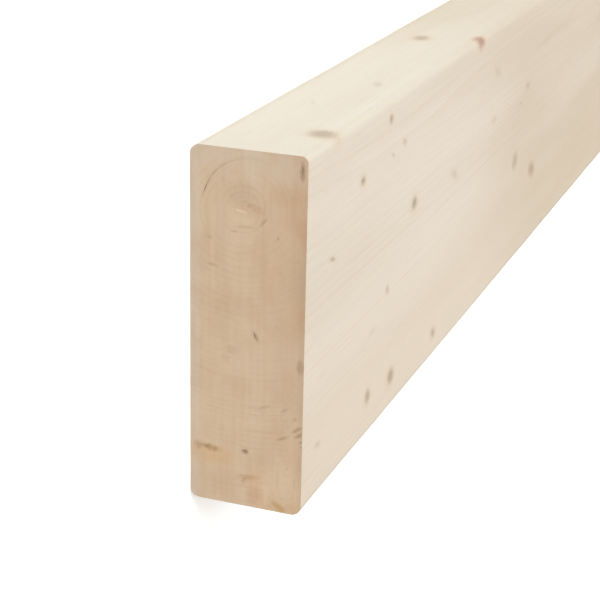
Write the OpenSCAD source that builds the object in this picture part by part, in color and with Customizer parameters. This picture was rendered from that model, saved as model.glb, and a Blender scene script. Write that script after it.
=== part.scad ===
// Planed softwood plank: one straight length of structural timber with eased long edges.
// It lies on a wide face. X runs along the grain, Y across the wide face and Z through the
// thickness, and the origin is the middle of the face that it lies on.

/* [Section] */
// Thickness, between the two wide faces
thickness = 48; // [20:1:100]
// Width, between the two narrow edges
width = 148; // [60:1:300]

/* [Length] */
// Length, between the two sawn ends
stock_length = 2400; // [600:100:6000]

/* [Edges] */
// Radius to which the planer rounds each of the four long edges
edge_radius = 4; // [1:0.5:8]

/* [Hidden] */
// Pale planed spruce
spruce = [0.90, 0.85, 0.76];
// Sides of a full circle, for the rounded edges
$fn = 96;

// What the rounding cutter takes off one square corner, with the corner at the origin and the
// timber in the first quadrant: a square of the radius, less the circle that stays.
module edge_waste(radius) {
    difference() {
        square(radius);
        translate([radius, radius]) circle(radius);
    }
}

// The planed section, lying flat and centred on the grain's axis: a rectangle that has lost
// the same waste at each corner.
module section() {
    difference() {
        translate([-width / 2, 0]) square([width, thickness]);
        for (side = [0, 1], face = [0, 1])
            translate([0, thickness / 2])
                mirror([side, 0])
                    mirror([0, face])
                        translate([-width / 2, -thickness / 2])
                            edge_waste(edge_radius);
    }
}

// The section run along the grain and cut off square at both ends.
module plank() {
    color(spruce)
        translate([-stock_length / 2, 0, 0])
            rotate([90, 0, 90])
                linear_extrude(height = stock_length) section();
}

plank();
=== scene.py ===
"""Dresses a planed spruce plank with growth rings, knots and sawn ends.

The plank lies on a wide face. X runs along the grain from the near sawn end to the far one, Y runs
across the wide face and Z up through the thickness. Blender's lengths are metres, and the sizes that
are chosen here are millimetres.
"""

import logging
import math
import random
from dataclasses import dataclass, field
from enum import Enum
from typing import Any, Sequence, Union

import bmesh
import bpy
import numpy as np
from mathutils import Matrix, Vector, noise
from mathutils.geometry import delaunay_2d_cdt

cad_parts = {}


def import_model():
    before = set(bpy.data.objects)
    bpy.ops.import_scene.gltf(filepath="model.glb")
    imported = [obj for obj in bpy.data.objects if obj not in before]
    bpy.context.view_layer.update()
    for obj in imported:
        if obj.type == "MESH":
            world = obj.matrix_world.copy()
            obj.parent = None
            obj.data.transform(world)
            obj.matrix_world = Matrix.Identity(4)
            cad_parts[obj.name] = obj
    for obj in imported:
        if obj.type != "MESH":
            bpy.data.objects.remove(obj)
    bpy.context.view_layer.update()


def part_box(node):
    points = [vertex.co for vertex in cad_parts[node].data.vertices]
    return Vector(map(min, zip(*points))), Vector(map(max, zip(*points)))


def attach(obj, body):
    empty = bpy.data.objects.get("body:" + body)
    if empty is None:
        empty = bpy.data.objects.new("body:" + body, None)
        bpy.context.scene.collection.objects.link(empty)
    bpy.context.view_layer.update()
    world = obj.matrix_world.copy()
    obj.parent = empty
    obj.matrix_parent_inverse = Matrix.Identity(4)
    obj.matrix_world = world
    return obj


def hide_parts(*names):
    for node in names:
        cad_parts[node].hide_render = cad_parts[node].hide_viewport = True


LOG = logging.getLogger("plank")
MM = 0.001
WOOD_IOR = 1.5

Tree = bpy.types.NodeTree
Socket = bpy.types.NodeSocket
Feed = Union[Socket, float, int, str, bool, Sequence[float], bpy.types.ID]
Spot = tuple[float, float]
Triple = tuple[float, float, float]

# Node types that recur
MATH = "ShaderNodeMath"
VECTOR = "ShaderNodeVectorMath"
RANGE = "ShaderNodeMapRange"
NOISE = "ShaderNodeTexNoise"
MIX = "ShaderNodeMix"
SPLIT = "ShaderNodeSeparateXYZ"
JOIN = "ShaderNodeCombineXYZ"
ATTRIBUTE = "ShaderNodeAttribute"
MOVE = "GeometryNodeSetPosition"
STORE = "GeometryNodeStoreNamedAttribute"
DRESS = "GeometryNodeSetMaterial"

# Settings that recur
BLEND = {"data_type": "RGBA", "out": "Result_Color"}
GLAZE = {"blend_type": "MULTIPLY", **BLEND}
SMOOTH = {"interpolation_type": "SMOOTHSTEP"}
PLUS = {"operation": "ADD"}
LESS = {"operation": "SUBTRACT"}
TIMES = {"operation": "MULTIPLY"}
TIMES_PLUS = {"operation": "MULTIPLY_ADD"}
SCALED = {"operation": "SCALE"}
LARGER = {"operation": "MAXIMUM"}
UNSIGNED = {"operation": "ABSOLUTE"}
DOT = {"operation": "DOT_PRODUCT", "out": "Value"}
LENGTH = {"operation": "LENGTH", "out": "Value"}


def linear(colour: str) -> tuple[float, float, float, float]:
    """Turns an sRGB hex colour into linear light.

    Args:
        colour: Six hex digits after a hash sign.

    Returns:
        Linear red, green and blue, and a full alpha.
    """
    parts = [int(colour[i : i + 2], 16) / 255 for i in (1, 3, 5)]
    red, green, blue = (p / 12.92 if p <= 0.04045 else ((p + 0.055) / 1.055) ** 2.4 for p in parts)
    return red, green, blue, 1.0


def socket_of(sockets: Sequence[Socket], key: Union[int, str]) -> Socket:
    """Finds one of a node's sockets among those that are in use.

    Args:
        sockets: The node's inputs or outputs.
        key: The socket's number, identifier or name.

    Returns:
        The socket.
    """
    used = [s for s in sockets if s.enabled]
    if isinstance(key, int):
        return used[key]
    return next(s for s in used if key in (s.identifier, s.name))


def add(
    tree: Tree,
    kind: str,
    feeds: Union[dict[str, Feed], Sequence[Feed]] = (),
    out: Union[int, str] = 0,
    **settings: Any,
) -> Socket:
    """Adds a node with its settings and links.

    Args:
        tree: Tree that gets the node.
        kind: Blender's name for this type of node.
        feeds: What its inputs take, in order or by name. A socket is linked, and a value is set.
        out: The output that is handed back.
        settings: The node's own properties.

    Returns:
        The chosen output, or the first input of a node that ends a tree.
    """
    node = tree.nodes.new(kind)
    for name, value in settings.items():
        setattr(node, name, value)
    pairs = feeds.items() if isinstance(feeds, dict) else enumerate(feeds)
    for key, value in pairs:
        socket = socket_of(node.inputs, key)
        if isinstance(value, Socket):
            tree.links.new(value, socket)
        else:
            socket.default_value = value
    return socket_of(node.outputs, out) if node.outputs else node.inputs[0]


def mottle(tree: Tree, place: Socket, size: Triple, detail: float = 1.0) -> Socket:
    """Draws random patches of a real size.

    Args:
        tree: The finish's node tree.
        place: The place in the wood, in millimetres.
        size: A patch's size along X, Y and Z, in millimetres.
        detail: Number of finer layers.

    Returns:
        The pattern, which lies about 0.5.
    """
    scaled = add(tree, VECTOR, [place, tuple(1 / s for s in size)], **TIMES)
    return add(tree, NOISE, [scaled, 1.0, detail])


def bare_tree(owner: Union[bpy.types.Material, bpy.types.World]) -> Tree:
    """Clears the node tree of a finish or of the world.

    Args:
        owner: The finish or the world.

    Returns:
        Its empty tree.
    """
    owner.use_nodes = True
    owner.node_tree.nodes.clear()
    return owner.node_tree


def put_in_scene(name: str, data: bpy.types.ID) -> bpy.types.Object:
    """Adds an object to the scene.

    Args:
        name: The object's name.
        data: Its mesh, lamp or camera.

    Returns:
        The object.
    """
    made = bpy.data.objects.new(name, data)
    bpy.context.scene.collection.objects.link(made)
    return made


def open_tree(name: str, inputs: dict[str, str], output: str) -> tuple[Tree, dict[str, Socket]]:
    """Starts a Geometry Nodes tree.

    Args:
        name: The tree's name.
        inputs: The names of its inputs, each with its kind of socket.
        output: The name of the geometry that it hands back.

    Returns:
        The tree, and the sockets of its inputs by name.
    """
    tree = bpy.data.node_groups.new(name, "GeometryNodeTree")
    for label, kind in inputs.items():
        tree.interface.new_socket(label, in_out="INPUT", socket_type=f"NodeSocket{kind}")
    tree.interface.new_socket(output, in_out="OUTPUT", socket_type="NodeSocketGeometry")
    return tree, {s.name: s for s in tree.nodes.new("NodeGroupInput").outputs}


def grow_mesh(piece: bpy.types.Object, tree: Tree, values: dict[str, Any]) -> None:
    """Runs a Geometry Nodes tree on a piece and keeps the result as its plain mesh.

    Args:
        piece: The object that gets the mesh.
        tree: The tree to run.
        values: The tree's inputs, by name.
    """
    modifier = piece.modifiers.new(tree.name, "NODES")
    modifier.node_group = tree
    for item in tree.interface.items_tree:
        if item.in_out == "INPUT" and item.name in values:
            modifier[item.identifier] = values[item.name]
    graph = bpy.context.evaluated_depsgraph_get()
    old = piece.data
    made = bpy.data.meshes.new_from_object(
        piece.evaluated_get(graph), preserve_all_data_layers=True, depsgraph=graph
    )
    piece.modifiers.remove(modifier)
    piece.data = made
    bpy.data.meshes.remove(old)
    made.name = piece.name


class Face(Enum):
    """A long face of the plank, as the direction that it faces across (Y) and up (Z)."""

    UPPER = (0, 1)
    UNDER = (0, -1)
    BACK_EDGE = (1, 0)
    FRONT_EDGE = (-1, 0)
    BACK_ARRIS = (1, 1)


@dataclass(frozen=True)
class Knot:
    """The foot of a small branch that comes out of a long face.

    Attributes:
        face: The face that it shows on.
        along: Distance from the near end, in millimetres.
        across: Place across the face, in millimetres: Y on a wide face and Z on an edge.
        half: Half its size along and across the grain, in millimetres.
        tone: How dark it is, from 0 to 1.
        slant: Turn of its long way from the grain, in degrees.
        red: How red it is, from 0 to 1.
    """

    face: Face
    along: float
    across: float
    half: Spot
    tone: float
    slant: float = 0.0
    red: float = 0.0


class Tint(Enum):
    """What coloured a stain on the sawn end."""

    BARK = "#8A6E4A"
    RESIN = "#A67C4C"
    AMBER = "#DDAE78"
    OCHRE = "#BE9448"
    ROSE = "#C59A7C"
    PALE = "#EAD4B4"
    WEATHER = "#DDCDBA"
    DUST = "#A4937C"


@dataclass(frozen=True)
class Stain:
    """A weathered patch, resin spot, bark trace or torn fibre on the near sawn end.

    Attributes:
        across: Its middle's Y, in millimetres.
        up: Its middle's Z, in millimetres.
        half: Half its size along Y and along Z, in millimetres.
        tint: What coloured it.
        tone: How strong it is, from 0 to 1.
        turn: Turn from Y towards Z, in degrees.
    """

    across: float
    up: float
    half: Spot
    tint: Tint
    tone: float
    turn: float = 0.0


@dataclass(frozen=True)
class Groove:
    """A crack, slit or pit in a sawn end, which closes towards both of its tips.

    Attributes:
        path: Points along its middle, as Y and Z in millimetres.
        width: Its widest opening, in millimetres.
        depth: Its greatest depth, in millimetres.
        fade: Share of its length over which it closes towards the last point.
        shade: How dark its bottom is, from 0 to 1.
        start: Share of its length over which it opens from the first point.
    """

    path: tuple[Spot, ...]
    width: float
    depth: float
    fade: float = 0.4
    shade: float = 1.0
    start: float = 0.15


def ring_arc(centre: Spot, radius: float, start: float, end: float, steps: int) -> tuple[Spot, ...]:
    """Follows a growth ring about the pith.

    Args:
        centre: The pith's Y and Z, in millimetres.
        radius: The ring's radius, in millimetres.
        start: First angle from +Z towards +Y, in degrees.
        end: Last angle, in degrees.
        steps: Number of steps between them.

    Returns:
        The points as Y and Z.
    """
    turns = [math.radians(start + (end - start) * i / steps) for i in range(steps + 1)]
    return tuple((centre[0] + radius * math.sin(t), centre[1] + radius * math.cos(t)) for t in turns)


# The pith's Y and Z at the near end, in millimetres
PITH: Spot = (50.5, 25.5)

# Small branches that show on the near part of the upper face, the back edge and their arris
NEAR_KNOTS: tuple[Knot, ...] = (
    Knot(Face.UPPER, 100, 66, (3.0, 2.1), 0.60, -17),
    Knot(Face.UPPER, 121, 51, (4.1, 1.8), 0.31, -23),
    Knot(Face.UPPER, 105, 49, (2.4, 1.0), 0.27, -20),
    Knot(Face.UPPER, 65, 48, (3.0, 1.9), 0.62, -11),
    Knot(Face.UPPER, 140, 18, (4.1, 3.0), 0.65, -6),
    Knot(Face.UPPER, 207, 14, (6.6, 2.4), 0.20, -24, 0.4),
    Knot(Face.UPPER, 335, -11, (5.9, 5.0), 0.36, -6),
    Knot(Face.UPPER, 379, -27, (8.2, 4.2), 0.50, -18, 0.4),
    Knot(Face.UPPER, 355, 28, (7.2, 2.7), 0.36, -15),
    Knot(Face.UPPER, 340, 21, (4.6, 1.2), 0.26, -16),
    Knot(Face.UPPER, 281, 25, (6.4, 2.0), 0.17, -4),
    Knot(Face.UPPER, 283, 50, (17.0, 2.8), 0.14, -16),
    Knot(Face.UPPER, 30, 25, (3.4, 1.0), 0.45, -16, 0.3),
    Knot(Face.UPPER, 104, -12, (2.6, 2.0), 0.34, -45),
    Knot(Face.UPPER, 85, -25, (6.4, 1.6), 0.11),
    Knot(Face.UPPER, 182, -60, (4.2, 2.6), 0.48, -23, 0.1),
    Knot(Face.UPPER, 114, -57, (4.6, 3.7), 0.61, -17, 0.1),
    Knot(Face.UPPER, 81, -54, (3.8, 3.4), 0.53, -33, 0.1),
    Knot(Face.UPPER, 18, -50, (3.1, 1.4), 0.25, -9),
    Knot(Face.BACK_EDGE, 34, 41, (5.9, 5.3), 0.55, -38),
    Knot(Face.BACK_EDGE, 234, 20, (6.5, 4.1), 0.51, -5, 0.2),
    Knot(Face.BACK_EDGE, 126, 33, (5.2, 1.9), 0.21, -17),
    Knot(Face.BACK_EDGE, 82, 19, (4.2, 0.9), 0.13, -23),
    Knot(Face.BACK_ARRIS, 246, 0, (7.6, 3.8), 0.68, 0, 1.0),
)

# Broad patches of weather on the near end, then what the saw laid open: resin, bark and torn fibre
NEAR_STAINS: tuple[Stain, ...] = (
    Stain(-46.0, 46.0, (32.0, 9.0), Tint.PALE, 0.24),
    Stain(0.0, 47.6, (72.0, 2.4), Tint.DUST, 0.16),
    Stain(67.0, 40.0, (9.0, 10.0), Tint.WEATHER, 0.22),
    Stain(70.0, 3.0, (5.0, 5.0), Tint.WEATHER, 0.30),
    Stain(-13.0, 42.0, (28.0, 8.5), Tint.WEATHER, 0.16),
    Stain(-37.0, 21.0, (9.0, 11.0), Tint.PALE, 0.15),
    Stain(-44.0, 1.5, (17.0, 4.0), Tint.PALE, 0.30),
    Stain(6.0, 15.0, (17.0, 6.0), Tint.RESIN, 0.07),
    Stain(23.0, 43.0, (13.0, 6.0), Tint.BARK, 0.07),
    Stain(-67.5, 5.0, (7.0, 7.0), Tint.RESIN, 0.08),
    Stain(-65.0, 30.0, (10.0, 9.0), Tint.AMBER, 0.18),
    Stain(56.5, 21.5, (7.0, 6.0), Tint.BARK, 0.14),
    Stain(-53.5, 10.0, (4.6, 11.0), Tint.AMBER, 0.35, 6),
    Stain(-50.4, 3.6, (1.9, 2.4), Tint.RESIN, 0.36),
    Stain(-50.8, 9.2, (1.6, 4.6), Tint.RESIN, 0.47, 8),
    Stain(-50.6, 7.4, (0.9, 1.6), Tint.BARK, 0.28),
    Stain(-49.9, 23.8, (1.2, 1.7), Tint.BARK, 0.60),
    Stain(-61.0, 25.4, (1.3, 5.4), Tint.RESIN, 0.29, -6),
    Stain(-63.0, 23.3, (2.0, 0.9), Tint.RESIN, 0.26),
    Stain(-0.2, 27.8, (2.6, 1.1), Tint.BARK, 0.36, -26),
    Stain(67.8, 45.8, (4.4, 1.3), Tint.BARK, 0.42),
    Stain(-10.2, 46.6, (3.4, 1.9), Tint.BARK, 0.33),
    Stain(51.6, 26.8, (1.6, 4.4), Tint.ROSE, 0.38, 23),
    Stain(49.8, 21.0, (0.7, 2.9), Tint.PALE, 0.75, 10),
    Stain(46.6, 22.0, (2.4, 6.0), Tint.PALE, 0.25),
    Stain(43.6, 22.6, (0.6, 5.6), Tint.BARK, 0.15, -4),
    Stain(46.4, 30.4, (0.8, 2.6), Tint.BARK, 0.24, -48),
    Stain(41.4, 18.4, (0.6, 1.8), Tint.BARK, 0.20),
    Stain(37.9, 8.2, (0.8, 1.6), Tint.BARK, 0.16),
    Stain(40.8, 36.4, (0.9, 0.6), Tint.BARK, 0.30),
    Stain(26.9, 9.4, (0.8, 2.6), Tint.BARK, 0.22, 8),
    Stain(-7.2, 17.6, (2.0, 3.0), Tint.BARK, 0.14),
    Stain(-11.0, 15.4, (2.2, 2.2), Tint.BARK, 0.09),
    Stain(-29.5, 31.5, (0.8, 3.4), Tint.BARK, 0.18, -24),
    Stain(-29.2, 40.4, (0.8, 1.8), Tint.BARK, 0.24, -34),
    Stain(-32.4, 44.6, (0.9, 1.2), Tint.BARK, 0.26, -34),
    Stain(-41.4, 39.6, (0.8, 3.2), Tint.BARK, 0.30, -26),
    Stain(-36.6, 45.8, (0.9, 2.9), Tint.BARK, 0.39, -36),
    Stain(-38.9, 46.6, (1.0, 2.8), Tint.BARK, 0.42, -42),
    Stain(-41.6, 47.4, (0.6, 0.8), Tint.BARK, 0.40, -40),
    Stain(-43.8, 47.4, (0.6, 0.7), Tint.BARK, 0.32, -40),
    Stain(-53.6, 46.8, (9.0, 1.7), Tint.ROSE, 0.22),
    Stain(-59.2, 37.8, (5.0, 0.6), Tint.BARK, 0.24),
    Stain(-60.0, 45.0, (3.2, 0.6), Tint.BARK, 0.16),
    Stain(-69.0, 27.6, (4.6, 3.2), Tint.ROSE, 0.34),
    Stain(-61.0, 37.5, (9.0, 9.0), Tint.PALE, 0.36),
    Stain(-66.5, 33.0, (6.0, 1.6), Tint.PALE, 0.30),
    Stain(-71.8, 38.6, (1.7, 4.2), Tint.OCHRE, 0.52, 34),
    Stain(-71.2, 43.6, (2.4, 3.0), Tint.AMBER, 0.22),
)

# The ring shake, the split corner, the torn notch and the resin dot
NEAR_GROOVES: tuple[Groove, ...] = (
    Groove(ring_arc(PITH, 20.3, 178, 66, 40), 0.55, 0.3, 0.9, 0.85),
    Groove(((70.4, 45.7), (68.4, 45.7), (65.6, 46.0)), 0.7, 0.4),
    Groove(((1.9, 26.8), (0.0, 27.5), (-2.1, 28.4)), 0.7, 0.4),
    Groove(((-49.8, 22.6), (-49.7, 24.0), (-49.9, 25.4)), 1.2, 0.4, 0.4, 0.8),
)


@dataclass(frozen=True)
class RingSockets:
    """What the growth rings hand to a finish: the distance from the pith, and the latewood."""

    radius: Socket
    late: Socket


@dataclass(frozen=True)
class GrowthRings:
    """Spruce rings about a wandering pith: wide pale earlywood that darkens into a thin latewood line.

    Attributes:
        pith: The pith's Y and Z at the near end, in millimetres.
        ring: Mean width of a year's growth, in millimetres.
        taper: How much nearer to the bark each millimetre of length is, which draws long arches.
        wander: How far the pith strays, in millimetres, over the length and width of a stray.
        waver: How far a ring strays from round, in millimetres, over its own length and width.
        spell: Number of good or poor years that follow each other.
        swing: How many years' growth such spells win or lose.
        seasons: Shares of a year, each with the darkness of the wood that grew then.
        faintest: Strength of the faintest year's line against the strongest one's.
        patch: Size of the stretches in which a line comes and goes, in millimetres.
    """

    pith: Spot = PITH
    ring: float = 2.6
    taper: float = 0.004
    wander: Triple = (8.0, 900.0, 140.0)
    waver: Triple = (2.4, 240.0, 24.0)
    spell: float = 8.0
    swing: float = 3.0
    seasons: tuple[Spot, ...] = ((0.45, 0.10), (0.80, 0.55), (0.92, 1.0))
    faintest: float = 0.2
    patch: Triple = (260.0, 16.0, 16.0)

    def grow(self, tree: Tree, place: Socket, shift: Feed = (0.0, 0.0, 0.0)) -> RingSockets:
        """Draws the rings through the solid wood.

        Args:
            tree: The finish's node tree.
            place: The place in the wood, in millimetres.
            shift: How far a branch pushes the rings aside, in millimetres.

        Returns:
            The rings' sockets.
        """
        moved = add(tree, VECTOR, [place, shift], **LESS)
        for reach, length, width in (self.wander, self.waver):
            stray = mottle(tree, place, (length, width, width)).node.outputs["Color"]
            centred = add(tree, VECTOR, [stray, (0.5, 0.5, 0.5)], **LESS)
            sway = (0.0, 2 * reach, 2 * reach)
            moved = add(tree, VECTOR, [centred, sway, moved], **TIMES_PLUS)
        away = add(tree, VECTOR, [moved, (0, *self.pith)], **LESS)
        flat = add(tree, VECTOR, [away, (0, 1, 1)], **TIMES)
        radius = add(tree, VECTOR, [flat], **LENGTH)
        along = add(tree, SPLIT, [place], out="X")
        tapered = add(tree, MATH, [along, self.taper, radius], **TIMES_PLUS)
        pace = add(tree, MATH, [tapered, 1 / (self.spell * self.ring)], **TIMES)
        fortune = add(tree, NOISE, [pace, 1.0, 2.0], noise_dimensions="1D")
        uneven = add(tree, MATH, [fortune, self.swing], **TIMES)
        years = add(tree, MATH, [tapered, 1 / self.ring, uneven], **TIMES_PLUS)
        part = add(tree, MATH, [years], operation="FRACT")
        year = add(tree, MATH, [years], operation="FLOOR")
        season = add(tree, "ShaderNodeValToRGB", [part])
        stops = season.node.color_ramp.elements
        stops[0].color = (0, 0, 0, 1)
        stops[1].color = (0, 0, 0, 1)
        for share, level in self.seasons:
            stops.new(share).color = (level, level, level, 1)
        luck = add(tree, "ShaderNodeTexWhiteNoise", {"W": year}, noise_dimensions="1D")
        strength = add(tree, MATH, [luck, 1 - self.faintest, self.faintest], **TIMES_PLUS)
        strong = add(tree, MATH, [season, strength], **TIMES)
        cloud = mottle(tree, place, self.patch)
        clear = add(tree, RANGE, [cloud, 0.35, 0.65, 0.45, 1.0], **SMOOTH)
        late = add(tree, MATH, [strong, clear], **TIMES)
        return RingSockets(radius, late)


@dataclass(frozen=True)
class Canvas:
    """A finish that has only its coordinates yet.

    Attributes:
        made: The material.
        tree: Its node tree.
        place: The place in the wood, in millimetres.
        along: That place's X.
        aside: That place's Y.
        up: That place's Z.
    """

    made: bpy.types.Material
    tree: Tree
    place: Socket
    along: Socket
    aside: Socket
    up: Socket

    @classmethod
    def blank(cls, name: str) -> "Canvas":
        """Starts a finish.

        Args:
            name: The material's name.

        Returns:
            The finish with its coordinates.
        """
        made = bpy.data.materials.new(name)
        tree = bare_tree(made)
        metres = add(tree, "ShaderNodeTexCoord", out="Object")
        place = add(tree, VECTOR, [metres, 1 / MM], **SCALED)
        axes = add(tree, SPLIT, [place]).node.outputs
        return cls(made, tree, place, axes["X"], axes["Y"], axes["Z"])

    def coat(self, colour: Socket, relief: Socket, bump: Spot, dull: Socket, gloss: float) -> None:
        """Ends a finish with its shader.

        Args:
            colour: The surface's colour.
            relief: The height of what stands out of it.
            bump: How strongly that shows, and how high it is in millimetres.
            dull: The surface's roughness.
            gloss: The level of its reflections, where 0.5 is that of smooth wood.
        """
        heights = {"Height": relief, "Strength": bump[0], "Distance": bump[1] * MM}
        shading = {
            "Base Color": colour,
            "Roughness": dull,
            "Normal": add(self.tree, "ShaderNodeBump", heights, out="Normal"),
            "IOR": WOOD_IOR,
            "Specular IOR Level": gloss,
        }
        surface = add(self.tree, "ShaderNodeBsdfPrincipled", shading)
        add(self.tree, "ShaderNodeOutputMaterial", {"Surface": surface})


@dataclass(frozen=True)
class NearestKnot:
    """What each point of the planed wood knows of its nearest knot.

    Attributes:
        spot: Distances along and across the knot in half-sizes, and how near it is from 0 to 1.
        across: The second of those.
        near: The third of those.
        side: Direction across the knot.
        tone: How dark it is.
        red: How red it is.
        radius: Half its width, in millimetres.
    """

    spot: Socket
    across: Socket
    near: Socket
    side: Socket
    tone: Socket
    red: Socket
    radius: Socket

    @classmethod
    def read(cls, tree: Tree) -> "NearestKnot":
        """Reads the knot from the mesh's attributes.

        Args:
            tree: The finish's node tree.

        Returns:
            The knot's sockets.
        """
        spot, side, kind = (
            add(tree, ATTRIBUTE, out="Vector", attribute_name=f"knot_{word}")
            for word in ("place", "side", "kind")
        )
        where = add(tree, SPLIT, [spot]).node.outputs
        looks = add(tree, SPLIT, [kind]).node.outputs
        return cls(spot, where["Y"], where["Z"], side, looks["X"], looks["Y"], looks["Z"])


@dataclass(frozen=True)
class PlanedSpruce:
    """Spruce planed along the grain: pale, matt and smooth, with faint straight rings and fine fibre.

    Attributes:
        low: Lowest corner of the plank's box, in metres.
        size: Size of that box, in metres.
        early: Colour of the wood that grew early in a year.
        late: Colour of the wood that grew late in a year, and of yellowed wood.
        deep: Glaze of painted shade beyond the near end, where the light falls off along the length, and
            of the wood's random drift of tone.
        edge: Colour of painted light on the narrow edges, as pale as a brightly lit face looks.
        heart: Colour of a brown knot, with red_heart for a red one.
        bark: Colour of a knot's own rings and of its middle.
        halo: Colour of the stain round a brown knot, with red_halo for a red one.
        wear_and_shade: Glaze of painted shade on the rounded edges, which tones down their highlight.
        roughness: Mean roughness.
        gloss: Level of the reflections.
        relief: Strength of the fine relief, and its height in millimetres.
        bleached: Distances from the near end between which the grain grows clear, in millimetres.
        contrast: Share of the late colour in latewood, in the bleached end and beyond it.
        pallor: Share of the painted light's colour on the edges, in the bleached end and beyond it.
        tinted: Distances from the near end between which the painted shade sets in.
        sooner: How much sooner it does so for each millimetre towards the back.
        fading: Distances from the near end between which that tint fades.
        tint: Its strength before it fades and after.
        yellowed: Y between which the upper face yellows towards the front, in millimetres.
        yellowing: How far it yellows, from 0 to 1.
        underneath: Z between which the narrow edges deepen towards the underside, in millimetres.
        under_tint: How far they deepen, from 0 to 1.
        edge_strip: Strip beside a narrow edge over which its painted light ends, in millimetres.
        shaded_strips: Strips of painted shade beside a rounded edge, on the wide and the narrow side.
        drift: Size of the broad drifts of tone, a hand wide and a forearm long, in millimetres.
        canals: Size of the resin canals' hair-fine dashes, in millimetres.
        fibres: Size of the fibre's streaks, in millimetres.
        parting: Half-sizes of a knot, along and across, over which the rings part round it.
        yielding: Share of a knot's half-width by which they part.
        rings: The growth rings.
    """

    low: Vector
    size: Vector
    name: str = "spruce_planed"
    early: str = "#E9DDCC"
    late: str = "#D6C09E"
    # Painted shade beyond the near end, together with the wood's random drift of tone
    deep: str = "#EEE9E0"
    # Painted light: the washed-out look of a brightly lit narrow edge
    edge: str = "#E4E0D3"
    heart: str = "#A58E72"
    red_heart: str = "#B07F66"
    bark: str = "#7D6A55"
    halo: str = "#D9C6A4"
    red_halo: str = "#E3B9A2"
    # Painted shade on the rounded edges, which tones down their highlight
    wear_and_shade: str = "#F8F6F2"
    roughness: float = 0.58
    gloss: float = 0.35
    relief: Spot = (0.35, 0.06)
    bleached: Spot = (440.0, 900.0)
    contrast: Spot = (0.33, 0.68)
    pallor: Spot = (0.60, 0.25)
    tinted: Spot = (200.0, 380.0)
    sooner: float = 0.5
    fading: Spot = (580.0, 1100.0)
    tint: Spot = (0.62, 0.31)
    yellowed: Spot = (20.0, -60.0)
    yellowing: float = 0.28
    underneath: Spot = (36.0, 4.0)
    under_tint: float = 0.34
    edge_strip: float = 4.0
    # Widths of the painted shade beside a rounded edge
    shaded_strips: Spot = (3.0, 7.0)
    drift: Triple = (320.0, 45.0, 45.0)
    canals: Triple = (18.0, 0.8, 0.8)
    fibres: Triple = (45.0, 0.9, 0.9)
    parting: Spot = (2.2, 1.7)
    yielding: float = 0.7
    rings: GrowthRings = field(default_factory=GrowthRings)

    def material(self) -> bpy.types.Material:
        """Builds the finish.

        Returns:
            The material.
        """
        canvas = Canvas.blank(self.name)
        tree = canvas.tree
        knot = NearestKnot.read(tree)
        rings = self.rings.grow(tree, canvas.place, self.parted(tree, knot))
        gone = add(tree, MATH, [canvas.along, self.low.x / MM], **LESS)
        clear = add(tree, RANGE, [gone, *self.bleached, 0.0, 1.0], **SMOOTH)
        # Earlywood and latewood at a low contrast, lowest where light has bleached the near end
        contrast = add(tree, RANGE, [clear, 0.0, 1.0, *self.contrast])
        grain = add(tree, MATH, [rings.late, contrast], **TIMES)
        late = linear(self.late)
        wood = add(tree, MIX, [grain, linear(self.early), late], **BLEND)
        aged = self.aged(canvas, gone, clear, wood)
        # Resin canals darken single dashes, and fibre streaks the whole face
        canal = mottle(tree, canvas.place, self.canals)
        seen = add(tree, RANGE, [canal, 0.66, 0.80, 0.0, 0.5], **SMOOTH)
        dashed = add(tree, MIX, [seen, aged, late], **BLEND)
        fibre = mottle(tree, canvas.place, self.fibres, 2.0)
        gain = add(tree, RANGE, [fibre, 0.25, 0.75, 0.97, 1.03])
        streaked = add(tree, VECTOR, [dashed, gain], **SCALED)
        colour = self.knotty(canvas, knot, clear, streaked)
        # The planer leaves latewood and fibre a few hundredths of a millimetre proud
        relief = add(tree, MATH, [rings.late, 0.6, fibre], **TIMES_PLUS)
        dull = add(tree, RANGE, [fibre, 0.3, 0.7, self.roughness - 0.05, self.roughness + 0.07])
        canvas.coat(colour, relief, self.relief, dull, self.gloss)
        return canvas.made

    def parted(self, tree: Tree, knot: NearestKnot) -> Socket:
        """Pushes the rings aside round a branch, and lets them close up and down the grain.

        Args:
            tree: The finish's node tree.
            knot: The nearest knot.

        Returns:
            How far the rings move, in millimetres.
        """
        along, across = self.parting
        lens = add(tree, VECTOR, [knot.spot, (1 / along, 1 / across, 0)], **TIMES)
        squared = add(tree, VECTOR, [lens, lens], **DOT)
        fall = add(tree, MATH, [squared, -1.0], **TIMES)
        bent = add(tree, MATH, [fall], operation="EXPONENT")
        for share in (knot.near, knot.across, knot.radius, self.yielding):
            bent = add(tree, MATH, [bent, share], **TIMES)
        return add(tree, VECTOR, [knot.side, bent], **SCALED)

    def aged(self, canvas: Canvas, gone: Socket, clear: Socket, wood: Socket) -> Socket:
        """Gives the wood its tones: painted light on the narrow edges, painted shade beyond the near end
        and on the rounded edges, and its own yellowing and drift.

        Args:
            canvas: The finish.
            gone: Distance from the near end, in millimetres.
            clear: How clear the grain is there, from 0 to 1.
            wood: Colour of the wood alone.

        Returns:
            The colour.
        """
        tree = canvas.tree
        half_width = self.size.y / 2 / MM
        half_thickness = self.size.z / 2 / MM
        # Painted light: the narrow edges take a paler colour, the washed-out look of a brightly lit
        # face, and the upper face yellows towards the front
        outer = add(tree, MATH, [canvas.aside], **UNSIGNED)
        palest = add(tree, RANGE, [clear, 0.0, 1.0, *self.pallor])
        strip = (half_width - self.edge_strip, half_width)
        edge_glare = add(tree, RANGE, [outer, *strip, 0.0, palest], **SMOOTH)
        pale = add(tree, MIX, [edge_glare, wood, linear(self.edge)], **BLEND)
        front = add(tree, RANGE, [canvas.aside, *self.yellowed, 0.0, self.yellowing], **SMOOTH)
        yellow = add(tree, MIX, [front, pale, linear(self.late)], **BLEND)
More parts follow.
